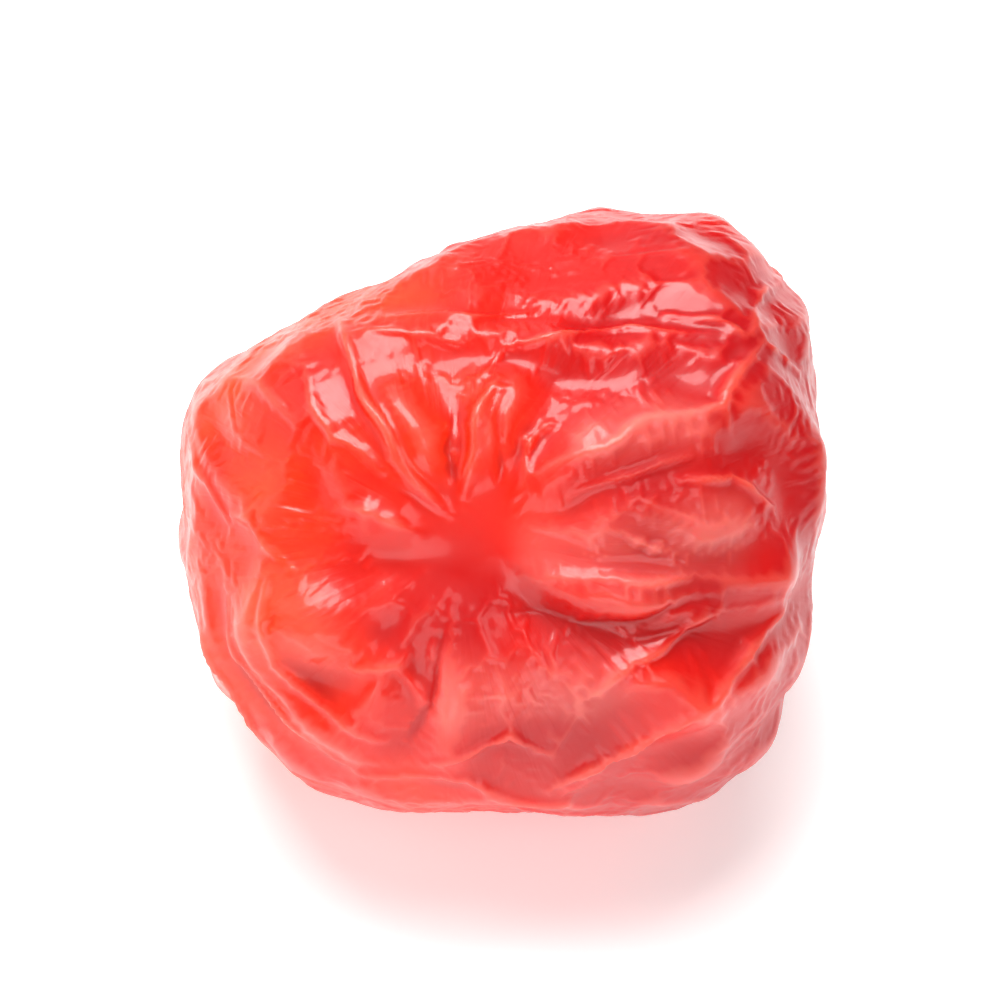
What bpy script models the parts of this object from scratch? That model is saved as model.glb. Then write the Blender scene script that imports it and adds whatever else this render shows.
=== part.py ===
"""A dried sour cherry, pitted, as one solid of wrinkled skin and flesh.

The body is a ball with soft flats, squarish from the side that shows, which faces front and upwards.
As the flesh shrank, the skin kept its area and crumpled: into flat facets all over, into long thin
ridges between them, and into folds that gather at the stem dimple. The folds of the side that shows
are placed one by one. The fruit rests on a small flat spot.
Lengths are in metres, +Z is up, and the origin is at the middle of the base, on the flat spot's level.
"""

import math

import bmesh
import bpy
import numpy as np
from mathutils import Vector, noise

MM = 0.001

# Half the width that shows, and the height of the body's centre over the flat spot
HALF_WIDTH = 9.3 * MM
CENTRE_HEIGHT = 7.6 * MM

# The side that shows faces the front, raised by this angle; a direction in it has three
# parts: right, up and towards the eye
VIEW_ELEVATION = math.radians(47)
VIEW_RIGHT = np.array((1.0, 0.0, 0.0))
VIEW_UP = np.array((0.0, math.sin(VIEW_ELEVATION), math.cos(VIEW_ELEVATION)))
VIEW_OUT = np.array((0.0, -math.cos(VIEW_ELEVATION), math.sin(VIEW_ELEVATION)))
VIEW_AXES = np.stack((VIEW_RIGHT, VIEW_UP, VIEW_OUT))

# The ball: its radii to the right, up and towards the eye, and how square it is as seen (2 is round)
BODY_RADII = (9.9 * MM, 9.3 * MM, 8.7 * MM)
BODY_SQUARENESS = 2.7

# The flats that packing pressed into it: outward direction, distance from the centre, soft edge
FLATS = (
    ((0.00, -0.68, -0.73), 8.40 * MM),
    ((0.05, 0.62, 0.78), 8.20 * MM),
    ((0.00, -1.00, 0.00), 8.60 * MM),
    ((0.00, 1.00, 0.00), 8.70 * MM),
    ((0.95, -0.32, 0.00), 8.75 * MM),
    ((0.96, 0.28, 0.00), 9.20 * MM),
    ((-1.00, 0.05, 0.00), 9.70 * MM),
    ((-0.48, 0.88, 0.05), 7.45 * MM),
    ((-0.80, -0.60, 0.05), 9.50 * MM),
    ((0.05, -0.15, 1.00), 8.60 * MM),
    ((0.50, 0.10, -0.85), 8.80 * MM),
)
FLAT_ROUNDING = 0.80 * MM
# A flat or a facet seen flatter than this is taken at this share of its full facing
FLAT_LEAST_FACING = 0.001
FACET_LEAST_FACING = 0.3

# The facets of the crumpled skin: how many, how evenly spread, their tilt as a slope,
# and how abruptly one gives way to the next
FACET_SEED = 7
FACETS = 190
FACET_JITTER = 0.085
FACET_TILT = 0.10
FACET_SHARPNESS = 30.0

# The long thin ridges: they run where a slow noise changes sign, drawn out from the stem end
# to the blossom end, and stand lower on the side whose folds are placed one by one
RIDGE_FIELDS = 3
RIDGE_SCALE = 2.5
RIDGE_STRETCH = 0.62
RIDGE_HEIGHT = 0.38 * MM
RIDGE_BREADTH = 0.040
RIDGE_SHARE_SHOWN = 0.35
# Each field of ridges reads the noise at a place of its own, and its strength comes in patches
FIELD_SHIFT = 7.0
PATCH_SHIFT = 3.5
PATCH_STRENGTH = 0.7
PATCH_CONTRAST = 1.3

# The folds of the side that shows: points as (right, up) in half-widths, height and half-breadth.
# A height below zero is a crease.
FOLDS = (
    (((-0.17, -0.02), (-0.30, 0.26), (-0.47, 0.52)), 0.45 * MM, 0.33 * MM),
    (((-0.12, 0.00), (-0.06, 0.22), (0.02, 0.42)), 0.48 * MM, 0.28 * MM),
    (((-0.15, 0.01), (-0.18, 0.20), (-0.24, 0.36)), -0.28 * MM, 0.39 * MM),
    (((0.04, 0.04), (0.26, 0.20), (0.62, 0.27), (0.72, 0.44)), 0.43 * MM, 0.35 * MM),
    (((-0.02, 0.06), (0.10, 0.26), (0.16, 0.44)), -0.31 * MM, 0.47 * MM),
    (((-0.26, -0.08), (-0.45, 0.02), (-0.58, 0.22)), 0.36 * MM, 0.35 * MM),
    (((-0.27, -0.14), (-0.48, -0.12), (-0.72, -0.16)), -0.31 * MM, 0.47 * MM),
    (((0.06, -0.28), (0.40, -0.37), (0.86, -0.26)), -0.53 * MM, 0.43 * MM),
    (((0.02, -0.20), (0.30, -0.26), (0.80, -0.16)), 0.36 * MM, 0.39 * MM),
    (((0.00, -0.38), (0.36, -0.42), (0.52, -0.36)), -0.28 * MM, 0.39 * MM),
    (((-0.16, -0.46), (-0.20, -0.60), (-0.18, -0.74)), 0.32 * MM, 0.27 * MM),
    (((0.14, -0.80), (0.36, -0.66), (0.52, -0.52), (0.84, -0.30)), 0.45 * MM, 0.30 * MM),
    (((0.30, -0.86), (0.60, -0.70), (0.82, -0.52)), -0.31 * MM, 0.39 * MM),
    (((-0.46, -0.78), (-0.05, -0.84), (0.40, -0.84), (0.72, -0.86)), 0.36 * MM, 0.27 * MM),
    (((-0.88, -0.20), (-0.76, -0.50), (-0.54, -0.76)), 0.32 * MM, 0.25 * MM),
    (((-0.76, -0.22), (-0.66, -0.46), (-0.44, -0.68)), 0.32 * MM, 0.25 * MM),
    (((-0.82, -0.24), (-0.71, -0.48), (-0.49, -0.72)), -0.25 * MM, 0.25 * MM),
    (((-0.90, 0.26), (-0.80, 0.06), (-0.66, -0.06)), 0.32 * MM, 0.31 * MM),
    (((-0.74, 0.44), (-0.60, 0.20), (-0.50, 0.08)), -0.28 * MM, 0.39 * MM),
    (((-0.46, 0.56), (-0.10, 0.58), (0.24, 0.54), (0.60, 0.46)), 0.36 * MM, 0.31 * MM),
    (((-0.40, 0.44), (-0.05, 0.48), (0.26, 0.42), (0.56, 0.40)), -0.28 * MM, 0.33 * MM),
    (((0.10, 0.72), (0.42, 0.66), (0.70, 0.50)), 0.30 * MM, 0.31 * MM),
    (((0.66, 0.46), (0.82, 0.60), (0.84, 0.72)), 0.29 * MM, 0.27 * MM),
    (((0.66, 0.46), (0.64, 0.22), (0.78, 0.06)), -0.28 * MM, 0.33 * MM),
    (((0.72, 0.40), (0.86, 0.20), (0.90, -0.05)), 0.29 * MM, 0.30 * MM),
    (((0.40, 0.02), (0.56, -0.06), (0.66, -0.02)), 0.25 * MM, 0.27 * MM),
    (((-0.42, -0.34), (-0.30, -0.52), (-0.34, -0.72)), -0.28 * MM, 0.35 * MM),
    (((-0.60, -0.20), (-0.52, -0.40), (-0.30, -0.44)), 0.29 * MM, 0.31 * MM),
)
TROUGH_SHARE = 0.35
TROUGH_PLACE = 2.6
TROUGH_SPREAD = 1.6
TAPER_START = 0.08
TAPER_POWER = 0.6

# The stem dimple as (right, up) in half-widths, its depth, and the folds that gather round it;
# the blossom end opposite has a shallower one
DIMPLE_SPOT = (-0.13, -0.12)
DIMPLE_DEPTH = 0.60 * MM
BLOSSOM_DEPTH = 0.36 * MM
DIMPLE_REACH = 0.26
PUCKERS = 13
PUCKER_HEIGHT = 0.30 * MM
PUCKER_START = 0.30
PUCKER_REACH = 0.46
PUCKER_RISE = 1.2
PUCKER_CROWDING = 1.9
PUCKER_UNEVENNESS = 0.38
DIMPLE_PHASE = 0.4
BLOSSOM_PHASE = 2.1

# How far the lines of all this wander sideways, as a share of the radius, and the scale of the bends
WANDER = 0.05
WANDER_SCALE = 3.2
WANDER_SEED = 11

# The flat spot: a triangle round the point under the fruit's weight, with its corners at this
# distance; beyond it the skin lifts with a slight slope, then rounds off softly
FOOT_SPOT = np.array((0.35 * MM, -0.15 * MM))
FOOT_REACH = 3.9 * MM
FOOT_SLOPE = 0.12
FOOT_BLEND = 0.30 * MM

# The fineness of the mesh
MESH_CUTS = 23


def unit(vectors):
    return vectors / np.linalg.norm(vectors, axis=-1, keepdims=True)


def seen(right, up):
    """The unit direction of a spot on the side that shows."""
    out = math.sqrt(max(0.0, 1 - right * right - up * up))
    return unit(np.array((right, up, out)) @ VIEW_AXES)


def smooth_noise(directions, scale, shift):
    return np.array([noise.noise(Vector(d) * scale + Vector((shift, 0, 0))) for d in directions])


def wandered(directions):
    """The directions moved sideways a little by smooth noise, so that no fold runs dead straight."""
    noise.seed_set(WANDER_SEED)
    moves = np.array([noise.noise_vector(Vector(d) * WANDER_SCALE) for d in directions])
    return unit(directions + WANDER * moves)


def body_radius(directions):
    """The distance from the centre to the plain body: the smooth least of the ball and the flats."""
    right, up, out = (directions @ VIEW_AXES.T / BODY_RADII).T
    square = (np.abs(right) ** BODY_SQUARENESS + np.abs(up) ** BODY_SQUARENESS) ** (1 / BODY_SQUARENESS)
    total = np.exp(-1 / np.hypot(square, out) / FLAT_ROUNDING)
    for towards, distance in FLATS:
        facing = directions @ unit(np.array(towards) @ VIEW_AXES)
        reach = distance / np.maximum(facing, FLAT_LEAST_FACING)
        total += np.exp(-reach / FLAT_ROUNDING)
    return -FLAT_ROUNDING * np.log(total)


def body_points(vectors):
    directions = unit(vectors)
    return directions * body_radius(directions)[:, None]


def body_normals(directions):
    """The plain body's outward normals, from small steps to both sides."""
    step = 0.02
    side = step * unit(np.cross(directions, VIEW_UP))
    top = np.cross(side, directions)
    across = body_points(directions + side) - body_points(directions - side)
    along = body_points(directions + top) - body_points(directions - top)
    return unit(np.cross(along, across))


def facet_centres(draw):
    """Directions along a spiral that spreads them evenly, then jittered."""
    step = np.arange(FACETS) + 0.5
    height = 1 - 2 * step / FACETS
    turn = math.pi * (1 + math.sqrt(5)) * step
    flat = np.sqrt(1 - height**2)
    centres = np.stack((flat * np.cos(turn), flat * np.sin(turn), height), axis=1)
    return unit(centres + draw.normal(0, FACET_JITTER, centres.shape))


def crumpled_radius(directions):
    """The body's distance from the centre, as flat facets that tilt at random and meet in creases."""
    draw = np.random.default_rng(FACET_SEED)
    centres = facet_centres(draw)
    normals = body_normals(centres) + draw.normal(0, FACET_TILT, centres.shape)
    distance = np.sum(body_points(centres) * normals, axis=1)
    planes = distance / (directions @ normals.T).clip(FACET_LEAST_FACING)
    away = np.linalg.norm(directions[:, None] - centres[None], axis=2)
    weight = np.exp(-FACET_SHARPNESS * (away - away.min(axis=1, keepdims=True)))
    return (weight * planes).sum(axis=1) / weight.sum(axis=1)


def crest(across):
    """A ridge's height at a distance counted in half-breadths: sharp on top, with soft feet."""
    return np.exp(-across) * (1 + across)


def ridge_relief(directions, axis):
    """Long thin ridges over the whole skin, in patches of uneven strength."""
    drawn_out = directions - (1 - RIDGE_STRETCH) * (directions @ axis)[:, None] * axis
    hidden = np.clip(0.5 - directions @ VIEW_OUT, 0, 1)
    share = RIDGE_SHARE_SHOWN + (1 - RIDGE_SHARE_SHOWN) * hidden
    relief = np.zeros(len(directions))
    for field in range(RIDGE_FIELDS):
        sign = smooth_noise(drawn_out, RIDGE_SCALE, FIELD_SHIFT * field)
        patch = smooth_noise(directions, RIDGE_SCALE, FIELD_SHIFT * field + PATCH_SHIFT)
        strength = np.clip(PATCH_STRENGTH + PATCH_CONTRAST * patch, 0.0, 1.0)
        relief = np.maximum(relief, strength * crest(np.abs(sign) / RIDGE_BREADTH))
    return RIDGE_HEIGHT * share * relief


def along_path(directions, path):
    """The distance from each direction to a path on the unit ball, and its place along it, 0 to 1."""
    points = [seen(*spot) for spot in path]
    lengths = [np.linalg.norm(end - start) for start, end in zip(points, points[1:])]
    nearest = np.full(len(directions), np.inf)
    place = np.zeros(len(directions))
    passed = 0.0
    for start, end, length in zip(points, points[1:], lengths):
        share = np.clip((directions - start) @ (end - start) / length**2, 0, 1)
        away = np.linalg.norm(directions - start - share[:, None] * (end - start), axis=1)
        place = np.where(away < nearest, (passed + share * length) / sum(lengths), place)
        nearest = np.minimum(nearest, away)
        passed += length
    return nearest, place


def fold_relief(directions):
    """The placed folds: each a crest with a shallow trough along both sides, fading to its ends."""
    relief = np.zeros(len(directions))
    for path, height, breadth in FOLDS:
        away, place = along_path(directions, path)
        across = away * HALF_WIDTH / breadth
        taper = np.sin(math.pi * (TAPER_START + (1 - 2 * TAPER_START) * place)) ** TAPER_POWER
        trough = TROUGH_SHARE * np.exp(-((across - TROUGH_PLACE) ** 2) / TROUGH_SPREAD)
        relief += height * taper * (crest(across) - trough)
    return relief


def dimple_relief(directions, centre, depth, phase):
    """A shallow bowl whose skin is gathered into radiating folds of uneven height."""
    side = unit(np.cross(centre, VIEW_UP))
    turn = np.arctan2(directions @ side, directions @ np.cross(side, centre))
    away = np.linalg.norm(directions - centre, axis=1)
    wave = np.cos(PUCKERS * turn + PUCKER_CROWDING * np.sin(2 * turn + phase) + phase)
    uneven = 1 - PUCKER_UNEVENNESS + PUCKER_UNEVENNESS * np.sin(3 * turn + 2 * phase)
    ring = (away / PUCKER_START) ** PUCKER_RISE * np.exp(-((away / PUCKER_REACH) ** 2))
    bowl = -depth * np.exp(-((away / DIMPLE_REACH) ** 2))
    return bowl + PUCKER_HEIGHT * uneven * ring * wave * np.sqrt(np.abs(wave))


def foot_corners():
    turns = np.radians((0, 120, 240))
    return FOOT_SPOT + FOOT_REACH * np.stack((np.cos(turns), np.sin(turns)), axis=1)


def beyond_foot(spots):
    """How far each spot of the base lies outside the flat triangle."""
    outward = unit(FOOT_SPOT - foot_corners())
    return ((spots - FOOT_SPOT) @ outward.T - FOOT_REACH / 2).max(axis=1).clip(0)


def set_on_foot(points):
    """Presses the lowest skin level inside the triangle, whose corners it meets exactly."""
    lift = FOOT_SLOPE * beyond_foot(points[:, :2])
    over = points[:, 2] + CENTRE_HEIGHT - lift
    soft = (over + FOOT_BLEND).clip(0) ** 2 / (4 * FOOT_BLEND)
    low = over < FOOT_BLEND
    points[:, 2] = lift + np.where(low, soft, over)
    for corner in foot_corners():
        away = np.linalg.norm(points[:, :2] - corner, axis=1) + points[:, 2]
        points[away.argmin()] = (*corner, 0.0)
    return points


def skin_points(directions):
    """The skin's point in each direction, with the middle of the base at the origin."""
    stem = seen(*DIMPLE_SPOT)
    bent = wandered(directions)
    radius = crumpled_radius(bent) + ridge_relief(bent, stem) + fold_relief(bent)
    radius += dimple_relief(bent, stem, DIMPLE_DEPTH, DIMPLE_PHASE)
    radius += dimple_relief(bent, -stem, BLOSSOM_DEPTH, BLOSSOM_PHASE)
    points = directions * radius[:, None]
    points[:, :2] -= (points.max(axis=0) + points.min(axis=0))[:2] / 2
    return set_on_foot(points)


def geodesic_ball():
    """A ball of even triangles, of radius 1."""
    ball = bmesh.new()
    bmesh.ops.create_icosphere(ball, subdivisions=1, radius=1.0)
    bmesh.ops.subdivide_edges(ball, edges=ball.edges[:], cuts=MESH_CUTS, use_grid_fill=True)
    for vertex in ball.verts:
        vertex.co.normalize()
    return ball


def skin_material():
    material = bpy.data.materials.new("candied_red_skin")
    material.use_nodes = True
    shader = material.node_tree.nodes["Principled BSDF"]
    shader.inputs["Base Color"].default_value = (0.72, 0.03, 0.02, 1)
    shader.inputs["Roughness"].default_value = 0.22
    shader.inputs["Metallic"].default_value = 0.0
    return material


def make_cherry():
    ball = geodesic_ball()
    points = skin_points(np.array([vertex.co for vertex in ball.verts]))
    for vertex, point in zip(ball.verts, points):
        vertex.co = point
    bmesh.ops.recalc_face_normals(ball, faces=ball.faces)
    mesh = bpy.data.meshes.new("cherry")
    ball.to_mesh(mesh)
    ball.free()
    mesh.shade_smooth()
    mesh.materials.append(skin_material())
    cherry = bpy.data.objects.new("cherry", mesh)
    bpy.context.scene.collection.objects.link(cherry)


for old in list(bpy.data.objects):
    bpy.data.objects.remove(old)
make_cherry()
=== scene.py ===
import math

import bmesh
import bpy
import numpy as np
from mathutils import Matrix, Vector, noise
from mathutils.bvhtree import BVHTree


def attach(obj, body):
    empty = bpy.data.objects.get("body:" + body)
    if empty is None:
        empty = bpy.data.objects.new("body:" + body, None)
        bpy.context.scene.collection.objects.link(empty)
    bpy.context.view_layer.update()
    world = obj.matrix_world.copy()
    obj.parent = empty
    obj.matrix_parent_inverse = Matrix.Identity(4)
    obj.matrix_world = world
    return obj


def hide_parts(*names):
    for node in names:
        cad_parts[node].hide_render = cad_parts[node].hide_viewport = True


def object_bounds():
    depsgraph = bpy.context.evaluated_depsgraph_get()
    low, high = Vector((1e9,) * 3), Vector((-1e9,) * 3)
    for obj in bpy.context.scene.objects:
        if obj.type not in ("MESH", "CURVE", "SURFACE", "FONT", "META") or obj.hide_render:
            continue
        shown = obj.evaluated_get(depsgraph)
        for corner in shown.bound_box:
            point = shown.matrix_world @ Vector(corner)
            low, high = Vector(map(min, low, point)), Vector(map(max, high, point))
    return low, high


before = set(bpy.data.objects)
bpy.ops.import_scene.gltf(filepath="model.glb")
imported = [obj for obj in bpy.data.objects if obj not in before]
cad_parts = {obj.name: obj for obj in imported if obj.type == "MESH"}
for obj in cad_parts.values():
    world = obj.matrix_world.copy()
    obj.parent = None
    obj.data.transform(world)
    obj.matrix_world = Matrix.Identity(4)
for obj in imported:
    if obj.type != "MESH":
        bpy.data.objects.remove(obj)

cad_low, cad_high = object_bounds()

# The view
# The fruit lies on a white table and is seen from the front, 47 degrees up, through a long
# lens, so that the dimple where its stem sat faces the eye.
MM = 0.001
VIEW_ELEVATION = math.radians(47)
VIEW_RIGHT = np.array((1.0, 0.0, 0.0))
VIEW_UP = np.array((0.0, math.sin(VIEW_ELEVATION), math.cos(VIEW_ELEVATION)))
VIEW_OUT = np.array((0.0, -math.cos(VIEW_ELEVATION), math.sin(VIEW_ELEVATION)))
VIEW_AXES = np.stack((VIEW_RIGHT, VIEW_UP, VIEW_OUT))
VIEW_DISTANCE = 95 * MM
NEAREST_SEEN = 1 * MM
LENS = 120

scene = bpy.context.scene
middle = (np.array(cad_low) + np.array(cad_high)) / 2
camera = bpy.data.objects.new("camera", bpy.data.cameras.new("camera"))
camera.data.lens = LENS
camera.data.clip_start = NEAREST_SEEN
camera.location = middle + VIEW_OUT * VIEW_DISTANCE
camera.rotation_euler = (math.pi / 2 - VIEW_ELEVATION, 0, 0)
scene.collection.objects.link(camera)
scene.camera = camera

# The skin
# A sour cherry, pitted, cooked in sugar syrup and dried. Its flesh shrank and its skin, thinner
# than film, didn't, so it crumpled into flat facets and thin ridges, and gathered at the stem's
# dimple. The script lets such a skin, too long for the fruit, settle on the fruit's form.
HALF_WIDTH = 9.3 * MM
STEM_SPOT = (-0.13, -0.12)
BALL_CUTS = 2
BALL_SPLITS = 3
NEIGHBOURS = 6
MERGE_DISTANCE = 1e-7
TINY = 1e-6


def unit(vectors):
    return vectors / np.linalg.norm(vectors, axis=-1, keepdims=True)


def seen(right, up):
    """The unit direction of a spot on the side that shows, given in half-widths."""
    out = math.sqrt(max(0.0, 1 - right * right - up * up))
    return unit(np.array((right, up, out)) @ VIEW_AXES)


def with_middles(points, edges):
    """The points, and after them the middles of the edges."""
    return np.concatenate((points, points[edges].mean(axis=1)))


def face_edges(faces):
    return np.concatenate((faces[:, [0, 1]], faces[:, [1, 2]], faces[:, [2, 0]]))


def split_faces(count, faces):
    """Each triangle in four: the edges whose middles are the new points, and the new faces."""
    edges, index = np.unique(np.sort(face_edges(faces), axis=1), axis=0, return_inverse=True)
    ab, bc, ca = index.reshape(3, -1) + count
    a, b, c = faces.T
    parts = ((a, ab, ca), (ab, b, bc), (ca, bc, c), (ab, bc, ca))
    return edges, np.concatenate([np.stack(part, axis=1) for part in parts])


def even_ball():
    """A ball of even triangles, as unit directions and faces."""
    ball = bmesh.new()
    bmesh.ops.create_icosphere(ball, subdivisions=1, radius=1.0)
    bmesh.ops.subdivide_edges(ball, edges=ball.edges[:], cuts=BALL_CUTS, use_grid_fill=True)
    bmesh.ops.recalc_face_normals(ball, faces=ball.faces)
    directions = unit(np.array([vertex.co for vertex in ball.verts]))
    faces = np.array([[vertex.index for vertex in face.verts] for face in ball.faces])
    ball.free()
    for _ in range(BALL_SPLITS):
        edges, faces = split_faces(len(directions), faces)
        directions = unit(with_middles(directions, edges))
    return directions, faces


def neighbour_table(count, faces):
    """Each point's six neighbours. The few points that have five repeat one of them."""
    ends = face_edges(faces)
    ends = ends[np.argsort(ends[:, 0], kind="stable")]
    first = np.searchsorted(ends[:, 0], np.arange(count))
    degree = np.bincount(ends[:, 0], minlength=count)
    columns = [ends[first + np.minimum(k, degree - 1), 1] for k in range(NEIGHBOURS)]
    return np.stack(columns, axis=1)


def smoothed(values, table, rounds):
    for _ in range(rounds):
        values = (values + values[table].mean(axis=1)) / 2
    return values


def ray_tree(node):
    """A tree for rays against the fruit's solid, with its loose triangles joined."""
    copy = bmesh.new()
    copy.from_mesh(node.data)
    bmesh.ops.remove_doubles(copy, verts=copy.verts, dist=MERGE_DISTANCE)
    tree = BVHTree.FromBMesh(copy)
    copy.free()
    return tree


def wrapped(directions):
    """The solid's surface in each direction from its middle."""
    start = Vector(middle)
    return np.array([solid.ray_cast(start, Vector(towards))[0] for towards in directions])


# The folds of the side that shows: points as (right, up) in half-widths, then height and
# half-breadth in millimetres. A height below zero is a crease.
FOLDS = (
    (((-0.18, -0.05), (-0.33, 0.13), (-0.42, 0.33), (-0.49, 0.51), (-0.53, 0.62)), 0.26, 0.12),
    (((-0.21, -0.02), (-0.36, 0.22), (-0.44, 0.41)), 0.16, 0.09),
    (((-0.24, 0.02), (-0.51, 0.20), (-0.57, 0.39)), 0.18, 0.13),
    (((-0.145, -0.01), (-0.07, 0.24), (0.00, 0.41)), 0.28, 0.17),
    (((-0.15, 0.05), (-0.17, 0.18), (-0.13, 0.29)), -0.12, 0.12),
    (((-0.02, 0.05), (0.01, 0.22), (0.05, 0.38)), -0.10, 0.12),
    (((0.07, 0.05), (0.12, 0.18), (0.20, 0.28)), 0.18, 0.12),
    (((0.08, 0.05), (0.34, 0.19), (0.62, 0.27), (0.71, 0.45)), 0.24, 0.12),
    (((0.20, 0.00), (0.45, 0.10), (0.60, 0.16)), 0.09, 0.10),
    (((-0.07, 0.42), (0.02, 0.51), (0.19, 0.53), (0.42, 0.56), (0.62, 0.47)), 0.18, 0.11),
    (((-0.45, 0.60), (-0.10, 0.62), (0.10, 0.66)), 0.14, 0.12),
    (((-0.42, 0.55), (-0.11, 0.54)), 0.16, 0.09),
    (((0.66, 0.45), (0.50, 0.60)), 0.15, 0.10),
    (((0.66, 0.45), (0.73, 0.57), (0.82, 0.66)), 0.14, 0.10),
    (((0.66, 0.45), (0.88, 0.52)), 0.13, 0.10),
    (((0.70, 0.44), (0.84, 0.36)), 0.15, 0.10),
    (((0.66, 0.45), (0.60, 0.28)), -0.08, 0.12),
    (((0.80, 0.86), (0.91, 0.71), (0.95, 0.56)), 0.20, 0.14),
    (((-0.92, 0.27), (-0.855, 0.05), (-0.80, -0.07)), 0.18, 0.11),
    (((-0.91, 0.37), (-0.68, 0.33), (-0.57, 0.21)), 0.12, 0.14),
    (((-0.80, -0.04), (-0.70, -0.06), (-0.62, -0.20)), 0.16, 0.11),
    (((-0.47, -0.01), (-0.38, -0.03), (-0.28, -0.10)), 0.18, 0.14),
    (((-0.89, -0.22), (-0.79, -0.48), (-0.68, -0.63), (-0.53, -0.80)), 0.24, 0.12),
    (((-0.80, -0.25), (-0.74, -0.45), (-0.60, -0.60), (-0.40, -0.76)), 0.22, 0.11),
    (((-0.66, -0.22), (-0.62, -0.45), (-0.51, -0.57), (-0.33, -0.69)), 0.17, 0.10),
    (((-0.45, -0.48), (-0.30, -0.51), (-0.22, -0.62)), 0.14, 0.10),
    (((-0.19, -0.435), (-0.21, -0.60), (-0.27, -0.71)), -0.14, 0.12),
    (((-0.39, -0.77), (-0.11, -0.82), (0.19, -0.86), (0.65, -0.89), (0.79, -0.85)), 0.26, 0.13),
    (((-0.21, -0.77), (-0.05, -0.71), (0.04, -0.69), (0.16, -0.74)), 0.18, 0.10),
    (((0.13, -0.82), (0.28, -0.725), (0.435, -0.62), (0.51, -0.56)), 0.30, 0.12),
    (((0.25, -0.56), (0.40, -0.45), (0.56, -0.36), (0.63, -0.33)), 0.24, 0.10),
    (((0.54, -0.54), (0.69, -0.40), (0.82, -0.27)), 0.26, 0.11),
    (((0.02, -0.38), (0.27, -0.405), (0.50, -0.31), (0.80, -0.25)), -0.18, 0.14),
    (((0.16, -0.26), (0.47, -0.235), (0.79, -0.21)), 0.18, 0.12),
    (((0.40, -0.08), (0.50, -0.16)), 0.12, 0.09),
    (((0.53, 0.07), (0.66, 0.07), (0.79, -0.02)), 0.14, 0.10),
)
# A fold is uneven along its length, fades at its ends and carries a sharper crest, whose height
# and breadth are shares of its own. None of them runs dead straight.
UNEVEN_SHARE = 0.2
UNEVEN_WAVES = 17
FOLD_END = 0.02
FOLD_TAPER = 0.7
CREST_HEIGHT = 0.45
CREST_BREADTH = 0.55
WANDER = 0.035
WANDER_SCALE = 5.0
SEED = 11


def wandered(directions):
    moves = np.array([noise.noise_vector(Vector(d) * WANDER_SCALE) for d in directions])
    return unit(directions + WANDER * moves)


def along_path(directions, path):
    """The distance from each direction to a path on the unit ball, and its place along it, 0 to 1."""
    points = [seen(*spot) for spot in path]
    lengths = [np.linalg.norm(end - start) for start, end in zip(points, points[1:])]
    nearest = np.full(len(directions), np.inf)
    place = np.zeros(len(directions))
    passed = 0.0
    for start, end, length in zip(points, points[1:], lengths):
        share = np.clip((directions - start) @ (end - start) / length**2, 0, 1)
        away = np.linalg.norm(directions - start - share[:, None] * (end - start), axis=1)
        place = np.where(away < nearest, (passed + share * length) / sum(lengths), place)
        nearest = np.minimum(nearest, away)
        passed += length
    return nearest, place


def fold_relief(directions, height_share=1.0, breadth_share=1.0):
    """How far the placed folds lift the skin in each direction."""
    relief = np.zeros(len(directions))
    for number, (path, height, breadth) in enumerate(FOLDS):
        away, place = along_path(directions, path)
        across = away * HALF_WIDTH / (breadth * breadth_share * MM)
        uneven = 1 - UNEVEN_SHARE + UNEVEN_SHARE * np.sin(UNEVEN_WAVES * place + number)
        taper = np.sin(math.pi * np.clip(place, FOLD_END, 1 - FOLD_END)) ** FOLD_TAPER
        relief += height * uneven * taper * np.exp(-across) * (1 + across)
    return height_share * relief[:, None] * MM


# The skin settles at three finenesses, each with four times the faces of the one before. Their
# values: rounds, stiffness, how much too long the skin is, and how much its form is smoothed.
FINENESSES = ((320, 0.14, 0.026, 1), (220, 0.05, 0.034, 4), (160, 0.014, 0.046, 16))
# Round the stem's dimple the skin is longer still round about, and in its middle taut and smooth
GATHERED_EXCESS = 0.014
GATHERED_REACH = 0.8
TAUT_REACH = 0.25
TAUT_SMOOTHING = 8
# The flesh holds the skin firmly where it would sink in, and hardly where it lifts off
HOLD_IN = 0.25
HOLD_OUT = 0.012
SPEED_KEPT = 0.9
PULL = 0.12
FIRST_UNEVENNESS = 0.06 * MM


def near_stem(directions, reach):
    away = np.linalg.norm(directions - seen(*STEM_SPOT), axis=1)[:, None]
    return np.exp(-((away / reach) ** 2))


def formed(directions, table, rounds):
    """The form that the skin lies on, with the placed folds, and the ways out from it."""
    form = smoothed(wrapped(directions), table, rounds)
    dimple = smoothed(form, table, rounds * TAUT_SMOOTHING)
    form += near_stem(directions, TAUT_REACH) * (dimple - form)
    outward = unit(form - middle)
    return form + outward * fold_relief(wandered(directions)), outward


def skin_excess(directions, table, all_over):
    """How much too long the skin is, for each point and each of its neighbours."""
    ways = unit(directions[table] - directions[:, None])
    round_stem = unit(np.cross(seen(*STEM_SPOT), directions) + TINY)
    turn = np.einsum("nkc,nc->nk", ways, round_stem) ** 2
    gathered = GATHERED_EXCESS * near_stem(directions, GATHERED_REACH) * turn
    return (all_over + gathered) * (1 - near_stem(directions, TAUT_REACH))


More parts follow.
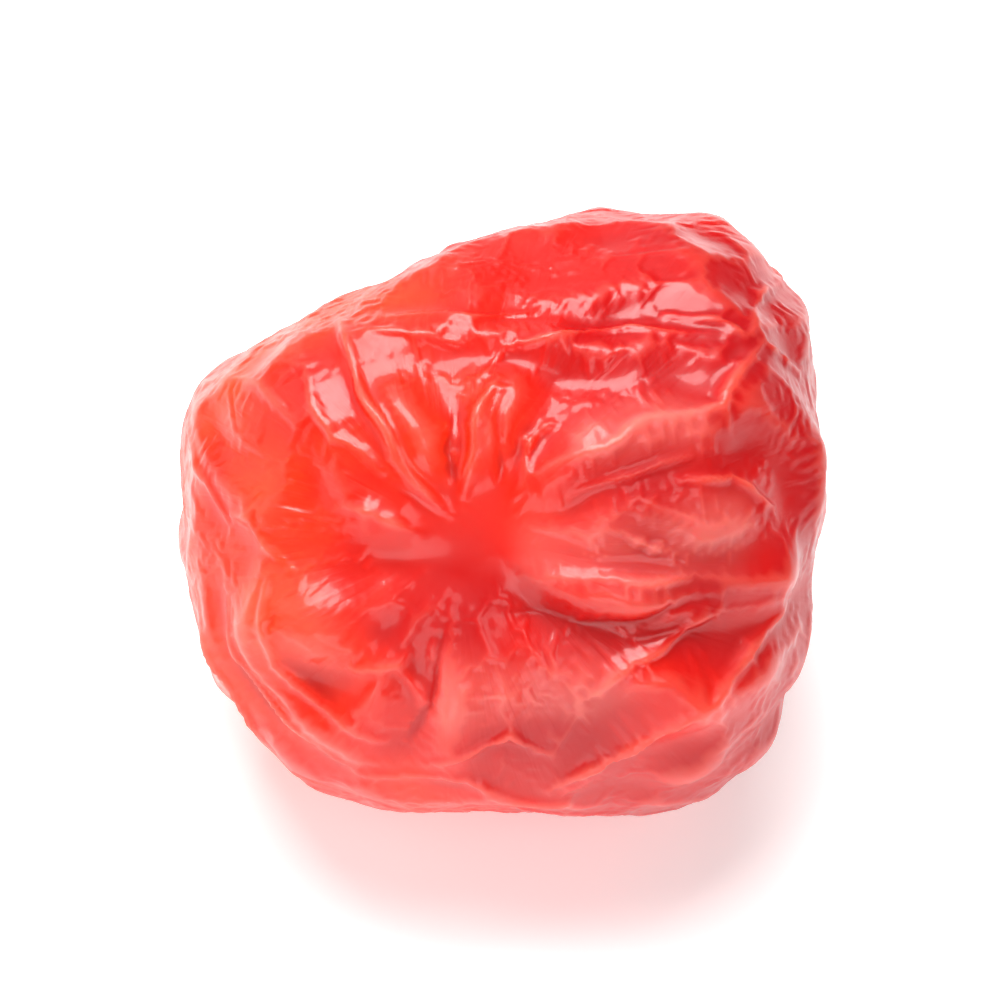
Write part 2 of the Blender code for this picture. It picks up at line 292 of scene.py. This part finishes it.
def settled(points, form, outward, excess, table, rounds, stiffness):
    """Lets the too long skin settle: its own stretch and stiffness, and the flesh's hold on it."""
    rest = np.linalg.norm(form[table] - form[:, None], axis=2) * (1 + excess)
    bend = form[table].mean(axis=1) - form
    speed = np.zeros_like(points)
    for _ in range(rounds):
        edge = points[table] - points[:, None]
        length = np.sqrt(np.einsum("nkc,nkc->nk", edge, edge))
        force = np.einsum("nkc,nk->nc", edge, 1 - rest / length)
        curve = edge.mean(axis=1) - bend
        force -= stiffness * NEIGHBOURS * (curve[table].mean(axis=1) - curve)
        move = points - form
        lift = np.einsum("nc,nc->n", move, outward)
        force -= np.where(lift < 0, HOLD_IN, HOLD_OUT)[:, None] * move
        speed = SPEED_KEPT * speed + PULL * force
        points = points + speed
    return points


noise.seed_set(SEED)
solid = ray_tree(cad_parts["cherry"])
directions, faces = even_ball()
points = None
for rounds, stiffness, all_over, form_smoothing in FINENESSES:
    if points is not None:
        edges, faces = split_faces(len(directions), faces)
        directions = unit(with_middles(directions, edges))
        points = with_middles(points, edges)
    table = neighbour_table(len(directions), faces)
    form, outward = formed(directions, table, form_smoothing)
    if points is None:
        draw = np.random.default_rng(SEED)
        points = form + outward * draw.normal(0, FIRST_UNEVENNESS, len(form))[:, None]
    excess = skin_excess(directions, table, all_over)
    points = settled(points, form, outward, excess, table, rounds, stiffness)

# Syrup fills the crumpled skin from below, so that a good half of its relief is left, and the
# glaze dries in sharp crests
FLESH_SMOOTHING = 60
RELIEF_KEPT = 0.52
SHARPENING = 0.6
SHARPENING_ROUNDS = 3

flesh = smoothed(wrapped(directions), table, FLESH_SMOOTHING)
points = flesh + RELIEF_KEPT * (points - flesh)
strayed = wandered(directions)
points += outward * fold_relief(strayed, CREST_HEIGHT, CREST_BREADTH)
points += SHARPENING * (points - smoothed(points, table, SHARPENING_ROUNDS))
points = points.clip(cad_low, cad_high)

skin_mesh = bpy.data.meshes.new("cherry_skin")
skin_mesh.from_pydata(points.tolist(), [], faces.tolist())
skin_mesh.shade_smooth()
skin = bpy.data.objects.new("cherry_skin", skin_mesh)
scene.collection.objects.link(skin)
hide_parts("cherry")
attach(skin, "root")

# The finish reads three things from the mesh: how far each point stands out from the skin around
# it, lines that run from the stem to the blossom end, and where the glaze is duller and a pale
# sheen is painted
RIDGE_SMOOTHING = 24
RIDGE_UNIT = 0.05 * MM
LINES_ROUND_STEM = 17
LINES_ALONG = 4
# The facets with a duller glaze and a painted pale sheen: a line through each as (right, up) in
# half-widths, then half-breadth in millimetres. Their edges are soft, their ridges get the most
# sheen and dullness and their creases stay clear.
DULL_AND_SHEEN_FACETS = (
    (((0.16, -0.17), (0.40, -0.16), (0.64, -0.10)), 1.1),
    (((0.30, 0.20), (0.52, 0.24)), 0.8),
    (((-0.14, -0.58), (0.08, -0.58), (0.28, -0.55)), 0.9),
)
DULL_AND_SHEEN_EDGE = 3
DULL_AND_SHEEN_ON_FLAT = 0.65
DULL_AND_SHEEN_ON_RIDGES = 0.4

around = smoothed(points, table, RIDGE_SMOOTHING)
stand_out = np.einsum("nc,nc->n", points - around, outward) / RIDGE_UNIT
stem = seen(*STEM_SPOT)
stem_side = unit(np.cross(stem, VIEW_UP))
turn = np.arctan2(directions @ np.cross(stem, stem_side), directions @ stem_side)
ring = LINES_ROUND_STEM * np.stack((np.cos(turn), np.sin(turn)), axis=1)
from_stem = LINES_ALONG * np.linalg.norm(directions - stem, axis=1)
stem_lines = np.column_stack((ring, from_stem)).ravel()
# Mask of the facets with a duller glaze and a painted pale sheen
dull_and_sheen = np.zeros(len(directions))
for path, breadth in DULL_AND_SHEEN_FACETS:
    away = along_path(strayed, path)[0] * HALF_WIDTH
    dull_and_sheen = np.maximum(dull_and_sheen, np.exp(-((away / (breadth * MM)) ** DULL_AND_SHEEN_EDGE)))
dull_and_sheen *= np.clip(DULL_AND_SHEEN_ON_FLAT + DULL_AND_SHEEN_ON_RIDGES * stand_out, 0, 1)
skin_mesh.attributes.new("stand_out", "FLOAT", "POINT").data.foreach_set("value", stand_out)
skin_mesh.attributes.new("stem_lines", "FLOAT_VECTOR", "POINT").data.foreach_set("vector", stem_lines)
skin_mesh.attributes.new("dull_glaze_and_sheen", "FLOAT", "POINT").data.foreach_set("value", dull_and_sheen)


def linear(hex_colour):
    """An sRGB hex colour as linear values with full opacity."""
    parts = [int(hex_colour[i : i + 2], 16) / 255 for i in (1, 3, 5)]
    return tuple(p / 12.92 if p <= 0.04045 else ((p + 0.055) / 1.055) ** 2.4 for p in parts) + (1.0,)


def add(tree, kind, settings=None, links=None):
    """Adds a node of a kind to a tree, gives it its settings, and links its inputs."""
    node = tree.nodes.new(kind)
    for name, value in (settings or {}).items():
        if isinstance(name, str) and hasattr(node, name):
            setattr(node, name, value)
        else:
            node.inputs[name].default_value = value
    for name, source in (links or {}).items():
        tree.links.new(source, node.inputs[name])
    return node


# Candied cherry: a clear red skin over jelly-like flesh, glazed by the syrup that dried on it.
# Light goes about a millimetre in. Thin ridges are painted paler pink, a painted highlight, and
# creases deeper red, a painted shade. The flesh's tone varies in blotches, and painted light and
# shade make it orange-red on the left side and deep crimson on the right. The glaze is glossier in
# places, and duller on a few facets, which also get a painted pale pink sheen.
FLANK = 9 * MM
# Painted light and shade: where the lighter left side and the darker right side sit on the ramp
LEFT_SIDE_PAINTED_LIGHT = -0.17
RIGHT_SIDE_PAINTED_SHADE = 0.42
BLOTCH_SIZE = 5.5 * MM
GLAZE_PATCH_SIZE = 2.2 * MM
WRINKLE_SIZE = 0.7 * MM
WRINKLE_DEPTH = 0.05 * MM
LINE_DEPTH = 0.06 * MM
LIGHT_REACH = 0.9 * MM
# The flesh's tones from orange to crimson, each colour with its place on the ramp. The crimson end
# is reached mostly through the painted shade on the right side.
FLESH_AND_SHADE_COLOURS = ((0.14, "#ff5824"), (0.38, "#f93a12"), (0.58, "#ee1a0c"), (0.85, "#c4000a"))
# Painted shade: the deeper red painted into creases
CREASE_SHADE_RED = "#c4040c"
# Painted highlight: the pale pink painted onto ridges
RIDGE_HIGHLIGHT_PINK = "#ff8470"
# Painted sheen: the pale pink painted on a few facets
PAINTED_SHEEN_PINK = "#ff9288"
PAINTED_SHEEN_SHARE = 0.45
DULL_ROUGHNESS = 0.1
# A mix of two colours has these sockets, which share their names with the other kinds' ones
MIX_SHARE = 0
MIX_FROM = 6
MIX_TO = 7
MIX_RESULT = 2

candied = bpy.data.materials.new("candied_cherry_skin")
candied.use_nodes = True
tree = candied.node_tree
shader = tree.nodes["Principled BSDF"]
place = add(tree, "ShaderNodeTexCoord").outputs["Object"]
fold = add(tree, "ShaderNodeAttribute", {"attribute_name": "stand_out"}).outputs["Fac"]
lines = add(tree, "ShaderNodeAttribute", {"attribute_name": "stem_lines"}).outputs["Vector"]

blotches = add(tree, "ShaderNodeTexNoise", {"Scale": 1 / BLOTCH_SIZE}, {"Vector": place})
sides = add(tree, "ShaderNodeSeparateXYZ", links={"Vector": place})
# Painted light and shade: the left side painted lighter orange, the right side darker crimson
side_shade = add(
    tree,
    "ShaderNodeMapRange",
    {"From Min": -FLANK, "From Max": FLANK, "To Min": LEFT_SIDE_PAINTED_LIGHT, "To Max": RIGHT_SIDE_PAINTED_SHADE},
    {"Value": sides.outputs["X"]},
)
tone_and_side_shade = add(
    tree,
    "ShaderNodeMath",
    {"operation": "ADD"},
    {0: blotches.outputs["Fac"], 1: side_shade.outputs["Result"]},
)
flesh_and_shade_colour = add(tree, "ShaderNodeValToRGB", links={"Fac": tone_and_side_shade.outputs["Value"]})
ramp = flesh_and_shade_colour.color_ramp
ramp.interpolation = "B_SPLINE"
while len(ramp.elements) < len(FLESH_AND_SHADE_COLOURS):
    ramp.elements.new(1.0)
for stop, (ramp_place, hex_colour) in zip(ramp.elements, FLESH_AND_SHADE_COLOURS):
    stop.position = ramp_place
    stop.color = linear(hex_colour)

# Painted shade: creases painted deeper red
crease_shade = add(
    tree,
    "ShaderNodeMapRange",
    {"From Min": -0.2, "From Max": -1.4, "To Min": 0.0, "To Max": 0.6},
    {"Value": fold},
)
crease_shaded = add(
    tree,
    "ShaderNodeMix",
    {"data_type": "RGBA", MIX_TO: linear(CREASE_SHADE_RED)},
    {MIX_SHARE: crease_shade.outputs["Result"], MIX_FROM: flesh_and_shade_colour.outputs["Color"]},
)
# Painted highlight: ridges painted paler pink
ridge_highlight = add(
    tree,
    "ShaderNodeMapRange",
    {"From Min": 0.4, "From Max": 2.4, "To Min": 0.0, "To Max": 0.36},
    {"Value": fold},
)
ridge_highlighted = add(
    tree,
    "ShaderNodeMix",
    {"data_type": "RGBA", MIX_TO: linear(RIDGE_HIGHLIGHT_PINK)},
    {MIX_SHARE: ridge_highlight.outputs["Result"], MIX_FROM: crease_shaded.outputs[MIX_RESULT]},
)
# Painted sheen: a few facets painted pale pink; the same mask makes their glaze rougher
dullness_and_sheen = add(tree, "ShaderNodeAttribute", {"attribute_name": "dull_glaze_and_sheen"}).outputs["Fac"]
sheen_share = add(tree, "ShaderNodeMath", {"operation": "MULTIPLY", 1: PAINTED_SHEEN_SHARE}, {0: dullness_and_sheen})
sheen_painted = add(
    tree,
    "ShaderNodeMix",
    {"data_type": "RGBA", MIX_TO: linear(PAINTED_SHEEN_PINK)},
    {MIX_SHARE: sheen_share.outputs["Value"], MIX_FROM: ridge_highlighted.outputs[MIX_RESULT]},
)
tree.links.new(sheen_painted.outputs[MIX_RESULT], shader.inputs["Base Color"])

glaze = add(tree, "ShaderNodeTexNoise", {"Scale": 1 / GLAZE_PATCH_SIZE, "Detail": 3.0}, {"Vector": place})
gloss = add(
    tree,
    "ShaderNodeMapRange",
    {"From Min": 0.35, "From Max": 0.65, "To Min": 0.28, "To Max": 0.50},
    {"Value": glaze.outputs["Fac"]},
)
dulled = add(
    tree,
    "ShaderNodeMath",
    {"operation": "MULTIPLY_ADD", 1: DULL_ROUGHNESS},
    {0: dullness_and_sheen, 2: gloss.outputs["Result"]},
)
tree.links.new(dulled.outputs["Value"], shader.inputs["Roughness"])

wrinkles = add(tree, "ShaderNodeTexNoise", {"Scale": 1 / WRINKLE_SIZE, "Detail": 3.0}, {"Vector": place})
wrinkled = add(
    tree,
    "ShaderNodeBump",
    {"Strength": 0.35, "Distance": WRINKLE_DEPTH},
    {"Height": wrinkles.outputs["Fac"]},
)
drawn = add(tree, "ShaderNodeTexNoise", {"Scale": 1.0, "Distortion": 0.6}, {"Vector": lines})
along = add(tree, "ShaderNodeSeparateXYZ", links={"Vector": lines})
fading = add(
    tree,
    "ShaderNodeMapRange",
    {"From Min": 0.8, "From Max": 2.4, "To Min": 0.0, "To Max": 0.60},
    {"Value": along.outputs["Z"]},
)
lined = add(
    tree,
    "ShaderNodeBump",
    {"Distance": LINE_DEPTH},
    {
        "Strength": fading.outputs["Result"],
        "Height": drawn.outputs["Fac"],
        "Normal": wrinkled.outputs["Normal"],
    },
)
tree.links.new(lined.outputs["Normal"], shader.inputs["Normal"])

shader.inputs["IOR"].default_value = 1.45
shader.inputs["Specular IOR Level"].default_value = 0.42
shader.inputs["Coat Weight"].default_value = 0.42
shader.inputs["Coat Roughness"].default_value = 0.10
shader.inputs["Coat IOR"].default_value = 1.47
shader.inputs["Subsurface Weight"].default_value = 1.0
shader.inputs["Subsurface Radius"].default_value = (1.0, 0.15, 0.08)
shader.inputs["Subsurface Scale"].default_value = LIGHT_REACH
skin_mesh.materials.append(candied)

# The table
# A light table's matt white acrylic sheet, lit a little from below, so that what lies on it
# casts hardly any shadow.
TABLE_HALF = 400 * MM
TABLE_GLOW = 0.42

table_mesh = bpy.data.meshes.new("light_table")
corners = [(x * TABLE_HALF, y * TABLE_HALF, 0) for x, y in ((-1, -1), (1, -1), (1, 1), (-1, 1))]
table_mesh.from_pydata(corners, [], [(0, 1, 2, 3)])
light_table = bpy.data.objects.new("light_table", table_mesh)
scene.collection.objects.link(light_table)

acrylic = bpy.data.materials.new("matt_white_acrylic")
acrylic.use_nodes = True
sheet = acrylic.node_tree.nodes["Principled BSDF"]
sheet.inputs["Base Color"].default_value = linear("#f4f3f2")
sheet.inputs["Roughness"].default_value = 0.8
sheet.inputs["Emission Color"].default_value = linear("#ffffff")
sheet.inputs["Emission Strength"].default_value = TABLE_GLOW
table_mesh.materials.append(acrylic)

# The light
# White softboxes in a dim white room, each given as place, watts and width: one above, which
# glints on the ridges, and four at the left, behind and in front, which fill the folds.
SOFTBOXES = {
    "top": ((-0.02, 0.03, 0.20), 0.50, 0.13),
    "left": ((-0.32, 0.00, 0.16), 0.25, 0.30),
    "back": ((-0.12, 0.32, 0.16), 0.12, 0.34),
    "front": ((-0.02, -0.30, 0.03), 0.28, 0.18),
    "brow": ((0.12, -0.22, 0.26), 0.17, 0.14),
}
ROOM_STRENGTH = 0.16

for name, (spot, watts, width) in SOFTBOXES.items():
    softbox = bpy.data.lights.new(name, "AREA")
    softbox.energy = watts
    softbox.size = width
    holder = bpy.data.objects.new(name, softbox)
    holder.location = spot
    holder.rotation_euler = (Vector(middle) - Vector(spot)).to_track_quat("-Z", "Y").to_euler()
    scene.collection.objects.link(holder)
room = bpy.data.worlds.new("white_room")
room.use_nodes = True
room.node_tree.nodes["Background"].inputs["Color"].default_value = linear("#ffffff")
room.node_tree.nodes["Background"].inputs["Strength"].default_value = ROOM_STRENGTH
scene.world = room
scene.view_settings.view_transform = "Standard"
